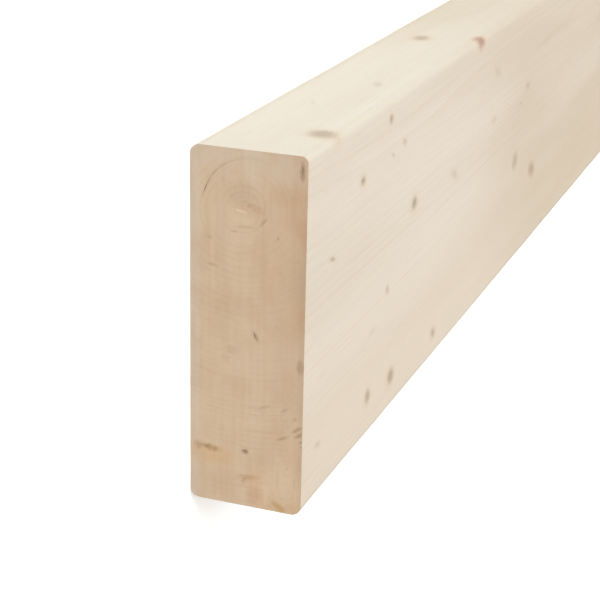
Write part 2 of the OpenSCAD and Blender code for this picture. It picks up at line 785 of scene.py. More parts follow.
        # Painted shade: beyond the first hand-span the wood takes a deeper tint, as the light falls off
        # along the length, and the narrow edges more of it below; broad drifts add the wood's own tone
        lasting = add(tree, RANGE, [gone, *self.fading, *self.tint], **SMOOTH)
        skewed = add(tree, MATH, [canvas.aside, self.sooner, gone], **TIMES_PLUS)
        past = add(tree, RANGE, [skewed, *self.tinted, 0.0, lasting], **SMOOTH)
        lower = add(tree, RANGE, [canvas.up, *self.underneath, 0.0, self.under_tint], **SMOOTH)
        both = add(tree, MATH, [edge_glare, lower, past], **TIMES_PLUS)
        drift = mottle(tree, canvas.place, self.drift, 3.0)
        sunk = add(tree, RANGE, [drift, 0.35, 0.75, 0.0, 0.5], **SMOOTH)
        shade_and_drift = add(tree, MATH, [both, sunk], use_clamp=True, **PLUS)
        toned = add(tree, MIX, [shade_and_drift, yellow, linear(self.deep)], **GLAZE)
        # Painted shade darkens the rounded edges a little, against the highlight that their rounding
        # catches
        off_middle = add(tree, MATH, [canvas.up, half_thickness], **LESS)
        apart = add(tree, MATH, [off_middle], **UNSIGNED)
        wide_strip, narrow_strip = self.shaded_strips
        on_edge = (half_thickness - narrow_strip, half_thickness)
        by_face = add(tree, RANGE, [apart, *on_edge, 0.0, 1.0], **SMOOTH)
        on_face = (half_width - wide_strip, half_width)
        by_edge = add(tree, RANGE, [outer, *on_face, 0.0, 1.0], **SMOOTH)
        arris = add(tree, MATH, [by_face, by_edge], **TIMES)
        return add(tree, MIX, [arris, toned, linear(self.wear_and_shade)], **GLAZE)

    def knotty(self, canvas: Canvas, knot: NearestKnot, clear: Socket, wood: Socket) -> Socket:
        """Draws the knots: a stained rim, then brown wood with rings of its own and a dark middle.

        Args:
            canvas: The finish.
            knot: The nearest knot.
            clear: How clear the grain is there, which makes a knot's rim sharper too.
            wood: Colour of the wood round it.

        Returns:
            The colour.
        """
        tree = canvas.tree
        flat = add(tree, VECTOR, [knot.spot, (1, 1, 0)], **TIMES)
        far = add(tree, VECTOR, [flat], **LENGTH)
        ragged = add(tree, NOISE, [canvas.place, 0.7, 2.0])
        rag = add(tree, MATH, [ragged, 0.5], **LESS)
        out = add(tree, MATH, [rag, 0.7, far], **TIMES_PLUS)
        glow = add(tree, RANGE, [out, 0.8, 2.6, 0.6, 0.0], **SMOOTH)
        weight = add(tree, MATH, [knot.near, knot.tone], **TIMES)
        stain = add(tree, MATH, [glow, weight], **TIMES)
        ooze = add(tree, MIX, [knot.red, linear(self.halo), linear(self.red_halo)], **BLEND)
        haloed = add(tree, MIX, [stain, wood, ooze], **BLEND)
        core = add(tree, MIX, [knot.red, linear(self.heart), linear(self.red_heart)], **BLEND)
        middle = add(tree, RANGE, [out, 0.0, 0.9, 0.60, 0.25], **SMOOTH)
        turns = add(tree, MATH, [out, 22.0], **TIMES)
        wave = add(tree, MATH, [turns], operation="SINE")
        ringed = add(tree, MATH, [wave, 0.12, middle], use_clamp=True, **TIMES_PLUS)
        brown = add(tree, MIX, [ringed, core, linear(self.bark)], **BLEND)
        # A wide knot has a firmer rim than a narrow one
        firm = add(tree, RANGE, [knot.radius, 3.0, 5.5, 0.12, 0.42])
        sharp = add(tree, MATH, [clear, 0.52, firm], **TIMES_PLUS)
        inside = add(tree, RANGE, [out, sharp, 1.50, 1.0, 0.0], **SMOOTH)
        shown = add(tree, MATH, [inside, weight], **TIMES)
        return add(tree, MIX, [shown, haloed, brown], **BLEND)


@dataclass(frozen=True)
class SawnEndGrain:
    """Spruce sawn across the grain: open pores drink light, so it is darker, warmer and rougher.

    Attributes:
        low: Lowest corner of the plank's box, in metres.
        size: Size of that box, in metres.
        early: Colour of the wood that grew early in a year.
        late: Colour of the wood that grew late in a year.
        shade: Colour of the end where it dried darker.
        grey: Colour of its weathered rim.
        crack: Colour inside a crack.
        dark_rings: Distances from the pith of the years that left a darker line, in millimetres.
        ring_line: Half-widths of such a line's core and of its fade, in millimetres.
        rims: Width of the pale rim below and behind, in millimetres.
        dried: Z between which the end dries darker, in millimetres.
        blotch: Size of the damp blotches, in millimetres.
        saw_marks: Size of the saw's marks, which run across the wide way, in millimetres.
        stain_depth: How far a stain reaches into the wood, in millimetres.
        contrast: Share of the late colour in latewood.
        roughness: Mean roughness.
        gloss: Level of the reflections.
        relief: Strength of the saw's relief, and its height in millimetres.
        rings: The growth rings.
    """

    low: Vector
    size: Vector
    name: str = "spruce_end_grain_sawn"
    early: str = "#DEC5A7"
    late: str = "#C4A07A"
    shade: str = "#CFAD89"
    grey: str = "#DDCDBA"
    crack: str = "#92744F"
    dark_rings: tuple[float, ...] = (80.5, 84.0, 91.0)
    ring_line: Spot = (0.2, 1.0)
    rims: Spot = (8.0, 16.0)
    dried: Spot = (24.0, 50.0)
    blotch: Triple = (60.0, 18.0, 12.0)
    saw_marks: Triple = (9.0, 60.0, 1.9)
    stain_depth: float = 30.0
    contrast: float = 0.30
    roughness: float = 0.82
    gloss: float = 0.2
    relief: Spot = (0.5, 0.15)
    rings: GrowthRings = field(default_factory=GrowthRings)

    def material(self) -> bpy.types.Material:
        """Builds the finish.

        Returns:
            The material.
        """
        canvas = Canvas.blank(self.name)
        tree = canvas.tree
        rings = self.rings.grow(tree, canvas.place)
        toned = self.dry(canvas, self.ringed(canvas, rings))
        # Saw marks over open pores
        marks = mottle(tree, canvas.place, self.saw_marks, 3.0)
        pores = add(tree, NOISE, [canvas.place, 1.5, 2.0])
        rough = add(tree, MATH, [pores, 0.8, marks], **TIMES_PLUS)
        gain = add(tree, RANGE, [rough, 0.6, 1.2, 0.955, 1.045])
        sawn = add(tree, VECTOR, [toned, gain], **SCALED)
        stained = self.stain(canvas, sawn)
        depth = add(tree, ATTRIBUTE, out="Fac", attribute_name="groove")
        colour = add(tree, MIX, [depth, stained, linear(self.crack)], **BLEND)
        relief = add(tree, MATH, [rings.late, 0.35, rough], **TIMES_PLUS)
        dull = add(tree, RANGE, [rough, 0.6, 1.2, self.roughness - 0.06, self.roughness + 0.06])
        canvas.coat(colour, relief, self.relief, dull, self.gloss)
        return canvas.made

    def ringed(self, canvas: Canvas, rings: RingSockets) -> Socket:
        """Draws the growth rings, with the darker lines of some years as broken arcs.

        Args:
            canvas: The finish.
            rings: The growth rings.

        Returns:
            The colour.
        """
        tree = canvas.tree
        patchy = add(tree, NOISE, [canvas.place, 1 / 13, 1.0])
        broken = add(tree, RANGE, [patchy, 0.46, 0.64, 0.0, 0.7], **SMOOTH)
        lines = rings.late
        for radius in self.dark_rings:
            off = add(tree, MATH, [rings.radius, radius], **LESS)
            apart = add(tree, MATH, [off], **UNSIGNED)
            line = add(tree, RANGE, [apart, *self.ring_line, 1.0, 0.0], **SMOOTH)
            lines = add(tree, MATH, [line, broken, lines], **TIMES_PLUS)
        grain = add(tree, MATH, [lines, self.contrast], use_clamp=True, **TIMES)
        return add(tree, MIX, [grain, linear(self.early), linear(self.late)], **BLEND)

    def dry(self, canvas: Canvas, wood: Socket) -> Socket:
        """Dries the end darker towards the upper face and paler along its rim below and behind.

        Args:
            canvas: The finish.
            wood: Colour of the wood alone.

        Returns:
            The colour.
        """
        tree = canvas.tree
        half_width = self.size.y / 2 / MM
        below, behind = self.rims
        low_rim = add(tree, RANGE, [canvas.up, below, 0.0, 0.0, 0.7], **SMOOTH)
        strip = (half_width - behind, half_width)
        back_rim = add(tree, RANGE, [canvas.aside, *strip, 0.0, 0.5], **SMOOTH)
        rim = add(tree, MATH, [low_rim, back_rim], **LARGER)
        rimmed = add(tree, MIX, [rim, wood, linear(self.grey)], **BLEND)
        upper = add(tree, RANGE, [canvas.up, *self.dried, 0.0, 0.6], **SMOOTH)
        cloud = mottle(tree, canvas.place, self.blotch, 2.0)
        damp = add(tree, RANGE, [cloud, 0.38, 0.72, 0.0, 0.4], **SMOOTH)
        shaded = add(tree, MATH, [upper, damp], use_clamp=True, **PLUS)
        return add(tree, MIX, [shaded, rimmed, linear(self.shade)], **BLEND)

    def stain(self, canvas: Canvas, wood: Socket) -> Socket:
        """Lays the stains over the near end, with rims as ragged as the pores.

        Args:
            canvas: The finish.
            wood: Colour of the clean end.

        Returns:
            The colour.
        """
        tree = canvas.tree
        frayed = add(tree, NOISE, [canvas.place, 0.6, 3.0])
        fray = add(tree, MATH, [frayed, 0.5], **LESS)
        colour = wood
        for stain in NEAR_STAINS:
            where = {
                "Vector": canvas.place,
                "Location": (self.low.x / MM, stain.across, stain.up),
                "Rotation": (math.radians(stain.turn), 0, 0),
                "Scale": (self.stain_depth, *stain.half),
            }
            inner = add(tree, "ShaderNodeMapping", where, vector_type="TEXTURE")
            far = add(tree, VECTOR, [inner], **LENGTH)
            out = add(tree, MATH, [fray, 1.1, far], **TIMES_PLUS)
            mask = add(tree, RANGE, [out, 0.35, 1.25, stain.tone, 0.0], **SMOOTH)
            colour = add(tree, MIX, [mask, colour, linear(stain.tint.value)], **BLEND)
        return colour


@dataclass(frozen=True)
class SawnEnd:
    """One end of the plank, closed by a skin that follows what the saw left.

    Attributes:
        side: -1 for the near end and 1 for the far one.
        grooves: Cracks and pits in it.
        step: Spacing of the skin's points, in millimetres.
        jitter: How far a point strays from its place, as a share of that spacing.
        clearance: Least distance between points, as a share of that spacing.
        rim_gap: Clear strip between the rim and the skin's own points, in millimetres.
        corner: Radius about which that strip turns a corner of the section, in millimetres.
        roughness: Mean depth of the saw's marks, in millimetres.
        stroke: Length and height of a mark, in millimetres.
        tear: Size of the torn patches among the marks, in millimetres.
        chips: Greatest depth of the torn rim, in millimetres.
        chip: Size of a chip in that rim, in millimetres.
        row_step: Spacing of points along a groove, in millimetres.
        fewest_rows: Least number of steps along a groove.
        ragged: Least and greatest share of a groove's width along its way.
        lip_shade: How dark a groove's lips are, from 0 to 1.
        seed: Seed of the points' scatter and the grooves' widths.
    """

    side: int
    grooves: tuple[Groove, ...] = ()
    step: float = 1.3
    jitter: float = 0.15
    clearance: float = 0.6
    rim_gap: float = 0.8
    corner: float = 5.0
    roughness: float = 0.10
    stroke: Spot = (70.0, 2.6)
    tear: Spot = (4.0, 4.0)
    chips: float = 0.30
    chip: Spot = (3.0, 3.0)
    row_step: float = 0.8
    fewest_rows: int = 8
    ragged: Spot = (0.6, 1.15)
    lip_shade: float = 0.05
    seed: int = 4

    def groove_rows(self, groove: Groove) -> list[tuple[Vector, float, float]]:
        """Lays out a groove's two lips and its bottom.

        Args:
            groove: The groove.

        Returns:
            Points in rows of three, lip, bottom and lip, each with its depth in millimetres and its
            share of shade.
        """
        path = np.array(groove.path)
        run = np.concatenate([[0.0], np.cumsum(np.hypot(*np.diff(path, axis=0).T))])
        count = max(self.fewest_rows, int(run[-1] / self.row_step))
        shares = np.arange(count + 1) / count
        line = np.stack([np.interp(shares * run[-1], run, path[:, k]) for k in (0, 1)], axis=1)
        ways = np.gradient(line, axis=0)
        luck = random.Random(self.seed)
        rows = []
        for share, spot, way in list(zip(shares, line, ways))[1:-1]:
            side = np.array([-way[1], way[0]]) / np.hypot(*way)
            closing = min(1.0, (1 - share) / groove.fade) ** 1.5
            opened = min(closing, share / groove.start) * luck.uniform(*self.ragged)
            half = groove.width / 2 * opened
            rows.append((Vector(spot - side * half), 0.0, self.lip_shade))
            rows.append((Vector(spot), groove.depth * opened, groove.shade * min(1.0, opened)))
            rows.append((Vector(spot + side * half), 0.0, self.lip_shade))
        return rows

    def close(self, bm: bmesh.types.BMesh, rim: list[bmesh.types.BMVert]) -> None:
        """Closes the open end of the plank.

        Args:
            bm: The plank's mesh.
            rim: The open end's vertices, in order round the section.
        """
        # Rounded off, so that the points of a flat side stay in line and no sliver closes over them
        outline = [Vector((round(v.co.y / MM, 4), round(v.co.z / MM, 4))) for v in rim]
        points = [(p, 0.0, 0.0) for p in outline]
        edges = [(i, (i + 1) % len(rim)) for i in range(len(rim))]
        for groove in self.grooves:
            first = len(points)
            points.append((Vector(groove.path[0]), 0.0, 0.0))
            points += self.groove_rows(groove)
            last = len(points)
            points.append((Vector(groove.path[-1]), 0.0, 0.0))
            for lane in range(3):
                chain = [first] + list(range(first + 1 + lane, last, 3)) + [last]
                edges += list(zip(chain[:-1], chain[1:]))
        taken = [p[0] for p in points]
        points += [(p, 0.0, 0.0) for p in self.scatter(outline, taken)]
        flat, _, faces, origin, _, _ = delaunay_2d_cdt([p[0] for p in points], edges, [], 1, 1e-5, True)
        shade = bm.verts.layers.float["groove"]
        sawn = bm.faces.layers.int["sawn"]
        x_end = rim[0].co.x
        made = []
        for spot, source in zip(flat, origin):
            if source and source[0] < len(rim):
                made.append(rim[source[0]])
                continue
            _, depth, dark = points[source[0]] if source else (spot, 0.0, 0.0)
            inward = (depth + self.saw_mark(spot)) * MM
            vert = bm.verts.new((x_end - self.side * inward, spot.x * MM, spot.y * MM))
            vert[shade] = dark
            made.append(vert)
        for corners in faces:
            order = corners if self.side > 0 else corners[::-1]
            bm.faces.new([made[i] for i in order])[sawn] = 1
        for vert, spot in zip(rim, outline):
            torn = self.chips * (0.5 + 0.5 * self.patch(spot, self.chip, 7.0)) ** 2
            vert.co.x -= self.side * torn * MM

    def patch(self, spot: Vector, size: Spot, layer: float) -> float:
        """Reads a random pattern of patches on the end.

        Args:
            spot: The place's Y and Z, in millimetres.
            size: A patch's size along Y and Z, in millimetres.
            layer: Number that tells this pattern from the others.

        Returns:
            The pattern's height, from -1 to 1.
        """
        return noise.noise(Vector((spot.x / size[0], spot.y / size[1], self.side * layer)))

    def saw_mark(self, spot: Vector) -> float:
        """Finds the depth of the saw's marks at a place.

        Args:
            spot: The place's Y and Z, in millimetres.

        Returns:
            The depth in millimetres, from 0 up.
        """
        stroke = self.patch(spot, self.stroke, 3.0)
        tear = self.patch(spot, self.tear, 11.0)
        return self.roughness * (1.0 + 0.6 * stroke + 0.4 * tear)

    def scatter(self, outline: list[Vector], taken: list[Vector]) -> list[Vector]:
        """Spreads points over the end in a loose honeycomb, clear of its rim and its grooves.

        Args:
            outline: The rim's points.
            taken: Points that are already in use.

        Returns:
            The new points.
        """
        luck = random.Random(self.seed)
        low = np.min(outline, axis=0)
        high = np.max(outline, axis=0)
        lift = self.step * math.sqrt(0.75)
        spots = []
        for row in range(1, int((high[1] - low[1]) / lift)):
            for column in range(1, int((high[0] - low[0]) / self.step)):
                stray = luck.uniform(-self.jitter, self.jitter)
                y = low[0] + self.step * (column + 0.5 * (row % 2) + stray)
                z = low[1] + lift * row + self.step * luck.uniform(-self.jitter, self.jitter)
                spots.append((y, z))
        free = np.array(spots)
        busy = np.array(taken)
        gap = np.min(np.hypot(*(free[:, None, :] - busy[None, :, :]).transpose(2, 0, 1)), axis=1)
        inset = np.minimum(free - low, high - free)
        short = np.maximum(self.corner - inset, 0.0)
        inside = np.hypot(short[:, 0], short[:, 1]) < self.corner - self.rim_gap
        return [Vector(p) for p in free[(gap > self.clearance * self.step) & inside]]


@dataclass(frozen=True)
class BakeSheet:
    """Layout of a colour map: the long faces unrolled in runs, with both ends beside them.

    Attributes:
        runs: Equal lengths that the unrolled faces are cut into.
        gap: Clear strip between two islands, as a share of the sheet.
        near_share: Share of the sheet's height that the near end takes.
    """

    runs: int = 3
    gap: float = 0.012
    near_share: float = 0.62

    def column(self, rows: Any, name: str, kind: type, width: int = 1) -> np.ndarray:
        """Reads one property of a mesh's rows.

        Args:
            rows: The rows, such as the mesh's vertices.
            name: The property.
            kind: The type of its numbers.
            width: How many numbers each row has.

        Returns:
            The numbers, one row after another.
        """
        values = np.zeros(width * len(rows), dtype=kind)
        rows.foreach_get(name, values)
        return values

    def lay_out(self, mesh: bpy.types.Mesh, low: Vector, size: Vector, girth: float) -> None:
        """Gives the mesh its map, and takes off the attribute that measured round the section.

        Args:
            mesh: The plank's mesh.
            low: Lowest corner of the plank's box, in metres.
            size: Size of that box, in metres.
            girth: Length once round the section, in metres.
        """
        corner = self.column(mesh.loops, "vertex_index", int)
        count = self.column(mesh.polygons, "loop_total", int)
        sawn = self.column(mesh.attributes["sawn"].data, "value", int)
        spots = self.column(mesh.vertices, "co", float, 3).reshape(-1, 3)
        x, y, z = (spots - np.array(low))[corner].T
        s = self.column(mesh.attributes["girth"].data, "value", float)[corner]
        owner = np.repeat(np.arange(len(count)), count)
        # A face that closes the section reaches past its start
        starts = np.concatenate([[0], np.cumsum(count)[:-1]])
        wide = np.maximum.reduceat(s, starts) - np.minimum.reduceat(s, starts) > girth / 2
        s = np.where(wide[owner] & (s < girth / 2), s + girth, s)
        middle = np.add.reduceat(x, starts) / count
        length = size.x / self.runs
        run = np.clip(np.floor(middle / length), 0, self.runs - 1)[owner]
        scale = (1 - (self.runs + 1) * self.gap) / (self.runs * girth)
        u = self.gap + (x - run * length) * scale
        v = self.gap + run * (girth * scale + self.gap) + s * scale
        # The near end stands at the lower right, larger than the far one above it
        left = 2 * self.gap + length * scale
        above = 2 * self.gap + self.near_share
        far_share = 1 - 3 * self.gap - self.near_share
        near = middle < size.x / 2
        for end, share, bottom in ((near, self.near_share, self.gap), (~near, far_share, above)):
            here = (end & (sawn == 1))[owner]
            u = np.where(here, left + z * share / size.y, u)
            v = np.where(here, bottom + y * share / size.y, v)
        sheet = mesh.uv_layers.new(name="OFBake")
        sheet.data.foreach_set("uv", np.stack([u, v], axis=1).ravel())
        mesh.attributes.remove(mesh.attributes["girth"])


@dataclass(frozen=True)
class KnotHabit:
    """How the branches vary that are not placed by hand, mostly as least and greatest values.

    Attributes:
        large_share: Share of large knots.
        large: Half-width of a large knot, in millimetres.
        small: Half-width of a small knot, in millimetres.
        stretch: Half-length of a knot against its half-width.
        large_tone: How dark a large knot is, from 0 to 1.
        small_tone: How dark a small knot is.
        slant: Turn of a knot's long way from the grain, in degrees.
        red: How red a knot is, from 0 to 1.
        room: Least distance between knots, in millimetres, and what each of half-width adds to it.
    """

    large_share: float = 0.10
    large: Spot = (3.0, 5.0)
    small: Spot = (0.9, 2.6)
    stretch: Spot = (1.1, 1.9)
    large_tone: Spot = (0.45, 0.70)
    small_tone: Spot = (0.18, 0.75)
    slant: Spot = (-25.0, 10.0)
    red: Spot = (0.0, 0.5)
    room: Spot = (32.0, 4.0)

    def draw(self, luck: random.Random, face: Face, along: float, across: float) -> Knot:
        """Draws one knot.

        Args:
            luck: The source of chance.
            face: The face that it shows on.
            along: Distance from the near end, in millimetres.
            across: Place across the face, in millimetres.

        Returns:
            The knot.
        """
        large = luck.random() < self.large_share
        wide = luck.uniform(*(self.large if large else self.small))
        half = (wide * luck.uniform(*self.stretch), wide)
        tone = luck.uniform(*(self.large_tone if large else self.small_tone))
        slant = luck.uniform(*self.slant)
        red = luck.uniform(*self.red)
        return Knot(face, along, across, half, tone, slant, red)

    def fits(self, knot: Knot, others: list[Knot]) -> bool:
        """Tells whether a knot is clear of the others on its face.

        Args:
            knot: The knot.
            others: The knots that are there already.

        Returns:
            True where there is room for it.
        """
        room = self.room[0] + self.room[1] * knot.half[1]
        beside = (k for k in others if k.face == knot.face)
        return all(math.hypot(k.along - knot.along, k.across - knot.across) > room for k in beside)


@dataclass
class Plank:
    """The plank: its planed section run along the grain, its sawn ends and its knots.

    Attributes:
        low: Lowest corner of its box, in metres.
        high: Highest corner of its box, in metres.
        edge_radius: Rounding of the long edges, in millimetres.
        back_radius: Rounding of the upper back edge, which the planer cut tighter, in millimetres.
        edge_steps: Steps round one rounded edge.
        face_step: Spacing of points across a face, in millimetres.
        stations: Sections along the length.
        near_share: Spacing of sections at the near end, as a share of even spacing.
        wear: Depth to which handling has worn the rounded edges, in millimetres.
        wear_spells: Worn stretches in each metre of edge.
        crease: Angle over which an edge of the mesh is shaded as sharp, in degrees.
        knot_depth: Distance off a knot's face at which its branch no longer shows, in millimetres.
        knot_reach: A knot's reach along the grain, in half-lengths, and what is added in millimetres.
        knot_gap: Strip between the reaches of two knots, in millimetres.
        least_reach: Least reach as a share of the distance to the next knot.
        arris_dip: Share of its radius by which a rounded edge lies inside the square one.
        margins: Strips without scattered knots along a wide face, an edge and the ends, in millimetres.
        habit: How the scattered knots vary.
        seed: Seed of the scattered knots.
    """

    low: Vector
    high: Vector
    edge_radius: float = 4.0
    back_radius: float = 2.6
    edge_steps: int = 6
    face_step: float = 4.0
    stations: int = 380
    near_share: float = 0.41
    wear: float = 0.25
    wear_spells: float = 18.0
    crease: float = 38.0
    knot_depth: float = 12.0
    knot_reach: Spot = (4.0, 8.0)
    knot_gap: float = 4.0
    least_reach: float = 0.3
    arris_dip: float = 0.3
    margins: Triple = (8.0, 6.0, 20.0)
    habit: KnotHabit = field(default_factory=KnotHabit)
    seed: int = 11

    @property
    def size(self) -> Vector:
        """Length, width and thickness, in metres."""
        return self.high - self.low

    def section_tree(self) -> Tree:
        """Draws the tree that runs the planed section along the grain.

        Returns:
            The tree, with inputs for its sizes.
        """
        lengths = ("Length", "Width", "Thickness", "Edge Radius", "Back Radius", "Face Step", "Wear")
        inputs = dict.fromkeys((*lengths, "Near Share", "Wear Spells"), "Float")
        inputs |= {"Edge Steps": "Int", "Stations": "Int", "Finish": "Material"}
        tree, given = open_tree("planed_section_along_grain", inputs, "Plank")
        sweep = {"Curve": self.grain_line(tree, given), "Profile Curve": self.section(tree, given)}
        body = add(tree, "GeometryNodeCurveToMesh", sweep)
        middle = add(tree, MATH, [given["Thickness"], 0.5], **TIMES)
        lift = add(tree, JOIN, {"Z": middle})
        lying = add(tree, MOVE, {"Geometry": body, "Offset": lift})
        # Handling wears the rounded edges unevenly
        normal = add(tree, "GeometryNodeInputNormal")
        facing = add(tree, VECTOR, [normal], **UNSIGNED)
        parts = add(tree, SPLIT, [facing]).node.outputs
        turned = add(tree, MATH, [parts["Y"], parts["Z"]], **TIMES)
        bumps = add(tree, NOISE, {"Scale": given["Wear Spells"], "Detail": 3.0})
        deep = add(tree, RANGE, [bumps, 0.45, 0.75, 0.0, 2.0])
        worn = add(tree, MATH, [turned, deep], **TIMES)
        inwards = add(tree, MATH, [given["Wear"], -1.0], **TIMES)
        sunk = add(tree, MATH, [worn, inwards], **TIMES)
        offset = add(tree, VECTOR, [normal, sunk], **SCALED)
        wear_and_shade = add(tree, MOVE, {"Geometry": lying, "Offset": offset})
        real = add(tree, "GeometryNodeRealizeInstances", [wear_and_shade])
        done = add(tree, DRESS, {"Geometry": real, "Material": given["Finish"]})
        add(tree, "NodeGroupOutput", [done])
        return tree

    def grain_line(self, tree: Tree, given: dict[str, Socket]) -> Socket:
        """Draws the grain's line, with its stations closer together at the near end.

        Args:
            tree: The section's tree.
            given: The tree's inputs.

        Returns:
            The line.
        """
        half = add(tree, MATH, [given["Length"], 0.5], **TIMES)
        back = add(tree, MATH, [half, -1.0], **TIMES)
        ends = {"Start": add(tree, JOIN, {"X": back}), "End": add(tree, JOIN, {"X": half})}
        line = add(tree, "GeometryNodeCurvePrimitiveLine", ends)
        spaced = add(tree, "GeometryNodeResampleCurve", {"Curve": line, "Count": given["Stations"]})
        share = add(tree, "GeometryNodeSplineParameter", out="Factor")
        rest = add(tree, MATH, [1.0, given["Near Share"]], **LESS)
        slope = add(tree, MATH, [share, rest, given["Near Share"]], **TIMES_PLUS)
        gone = add(tree, MATH, [share, slope], **TIMES)
        along = add(tree, MATH, [gone, given["Length"], back], **TIMES_PLUS)
        station = add(tree, JOIN, {"X": along})
        return add(tree, MOVE, {"Geometry": spaced, "Position": station})

    def section(self, tree: Tree, given: dict[str, Socket]) -> Socket:
        """Draws the section: a rectangle with rounded corners, cut finely along its flats only.

        Args:
            tree: The section's tree.
            given: The tree's inputs.

        Returns:
            The section's outline, which keeps the distance round it as an attribute.
        """
        sides = {"Width": given["Width"], "Height": given["Thickness"]}
        box = add(tree, "GeometryNodeCurvePrimitiveQuadrilateral", sides)
        here = add(tree, "GeometryNodeInputPosition")
        corner = add(tree, SPLIT, [here]).node.outputs
        most = add(tree, MATH, [corner["X"], corner["Y"]], **LARGER)
        back_edge = add(tree, MATH, [most, 0.0], operation="LESS_THAN")
        radius = add(tree, MIX, [back_edge, given["Edge Radius"], given["Back Radius"]])
        easing = {"Curve": box, "Count": given["Edge Steps"], "Radius": radius}
        eased = add(tree, "GeometryNodeFilletCurve", easing, mode="POLY")
        after = add(tree, "GeometryNodeOffsetPointInCurve", {"Offset": 1}, out="Point Index")
        next_one = {"Value": here, "Index": after}
        there = add(tree, "GeometryNodeFieldAtIndex", next_one, data_type="FLOAT_VECTOR")
        gap = add(tree, VECTOR, [here, there], out="Value", operation="DISTANCE")
        cuts = add(tree, MATH, [gap, given["Face Step"]], operation="DIVIDE")
        whole = add(tree, MATH, [cuts], operation="FLOOR")
        outline = add(tree, "GeometryNodeSubdivideCurve", {"Curve": eased, "Cuts": whole})
        round_it = add(tree, "GeometryNodeSplineParameter", out="Length")
        measure = {"Geometry": outline, "Name": "girth", "Value": round_it}
        return add(tree, STORE, measure, data_type="FLOAT", domain="POINT")

    def knots_tree(self) -> Tree:
        """Draws the tree that tells each point of the wood where its nearest knot is.

        Returns:
            The tree, with inputs for the knots and the two finishes.
        """
        inputs = {"Plank": "Geometry", "Knots": "Object", "Planed": "Material", "Sawn": "Material"}
        tree, given = open_tree("knots_in_the_wood", inputs, "Knotty")
        here = add(tree, "GeometryNodeInputPosition")
        cloud = add(tree, "GeometryNodeObjectInfo", {"Object": given["Knots"]}, out="Geometry")
        nearest = add(tree, "GeometryNodeSampleNearest", {"Geometry": cloud, "Sample Position": here})
        found = {}
        for word in ("position", "first_axis", "second_axis", "outward", "kind", "reach"):
            form = "FLOAT" if word == "reach" else "FLOAT_VECTOR"
            value = add(tree, "GeometryNodeInputNamedAttribute", {"Name": word}, data_type=form)
            ask = {"Geometry": cloud, "Value": value, "Index": nearest}
            found[word] = add(tree, "GeometryNodeSampleIndex", ask, data_type=form)
        away = add(tree, VECTOR, [here, found["position"]], **LESS)
        axes = [found[axis] for axis in ("first_axis", "second_axis", "outward")]
        along, across, off_face = (add(tree, VECTOR, [away, axis], **DOT) for axis in axes)
        far = add(tree, VECTOR, [away], **LENGTH)
        share = add(tree, MATH, [far, found["reach"]], operation="DIVIDE")
        off = add(tree, MATH, [off_face], **UNSIGNED)
        gone = add(tree, MATH, [share, off], **PLUS)
        near = add(tree, RANGE, [gone, 0.5, 1.0, 1.0, 0.0], **SMOOTH)
        spot = add(tree, JOIN, [along, across, near])
        side = add(tree, VECTOR, [found["second_axis"]], operation="NORMALIZE")
        wood = given["Plank"]
        for word, value in (("place", spot), ("side", side), ("kind", found["kind"])):
            note = {"Geometry": wood, "Name": f"knot_{word}", "Value": value}
            wood = add(tree, STORE, note, data_type="FLOAT_VECTOR", domain="POINT")
        sawn = add(tree, "GeometryNodeInputNamedAttribute", {"Name": "sawn"}, data_type="BOOLEAN")
        real = add(tree, "GeometryNodeRealizeInstances", [wood])
        planed = add(tree, DRESS, {"Geometry": real, "Material": given["Planed"]})
        finish = {"Geometry": planed, "Selection": sawn, "Material": given["Sawn"]}
        done = add(tree, DRESS, finish)
        add(tree, "NodeGroupOutput", [done])
        return tree

    def all_knots(self) -> list[Knot]:
        """Joins the knots of the near part to scattered ones for the rest of the wood.

        Returns:
            Every knot on the plank.
        """
        luck = random.Random(self.seed)
        knots = list(NEAR_KNOTS)
        length, width, thickness = self.size / MM
        by_face, by_edge, by_end = self.margins
        wide = (width / 2 - by_face, 0.0)
        narrow = (thickness / 2 - by_edge, thickness / 2)
        # Each face with the distance from the near end where its scattered knots start, and their number
        plans = (
            (Face.UPPER, 440.0, 52, wide),
            (Face.UNDER, by_end, 62, wide),
            (Face.BACK_EDGE, 330.0, 18, narrow),
            (Face.FRONT_EDGE, by_end, 20, narrow),
        )
        for face, start, count, (reach, middle) in plans:
            for _ in range(count):
                along = luck.uniform(start, length - by_end)
                across = middle + luck.uniform(-reach, reach)
                knot = self.habit.draw(luck, face, along, across)
                if self.habit.fits(knot, knots):
                    knots.append(knot)
        return knots

    def knot_place(self, knot: Knot) -> Vector:
        """Finds where a knot comes out of the wood.

        Args:
            knot: The knot.

        Returns:
            The place, in metres.
        """
        across, up = knot.face.value
        middle = (self.low + self.high) / 2
        eased = self.arris_dip * self.back_radius * MM if across and up else 0.0
        y = middle.y + across * (self.size.y / 2 - eased) if across else knot.across * MM
        z = middle.z + up * (self.size.z / 2 - eased) if up else knot.across * MM
        return Vector((self.low.x + knot.along * MM, y, z))

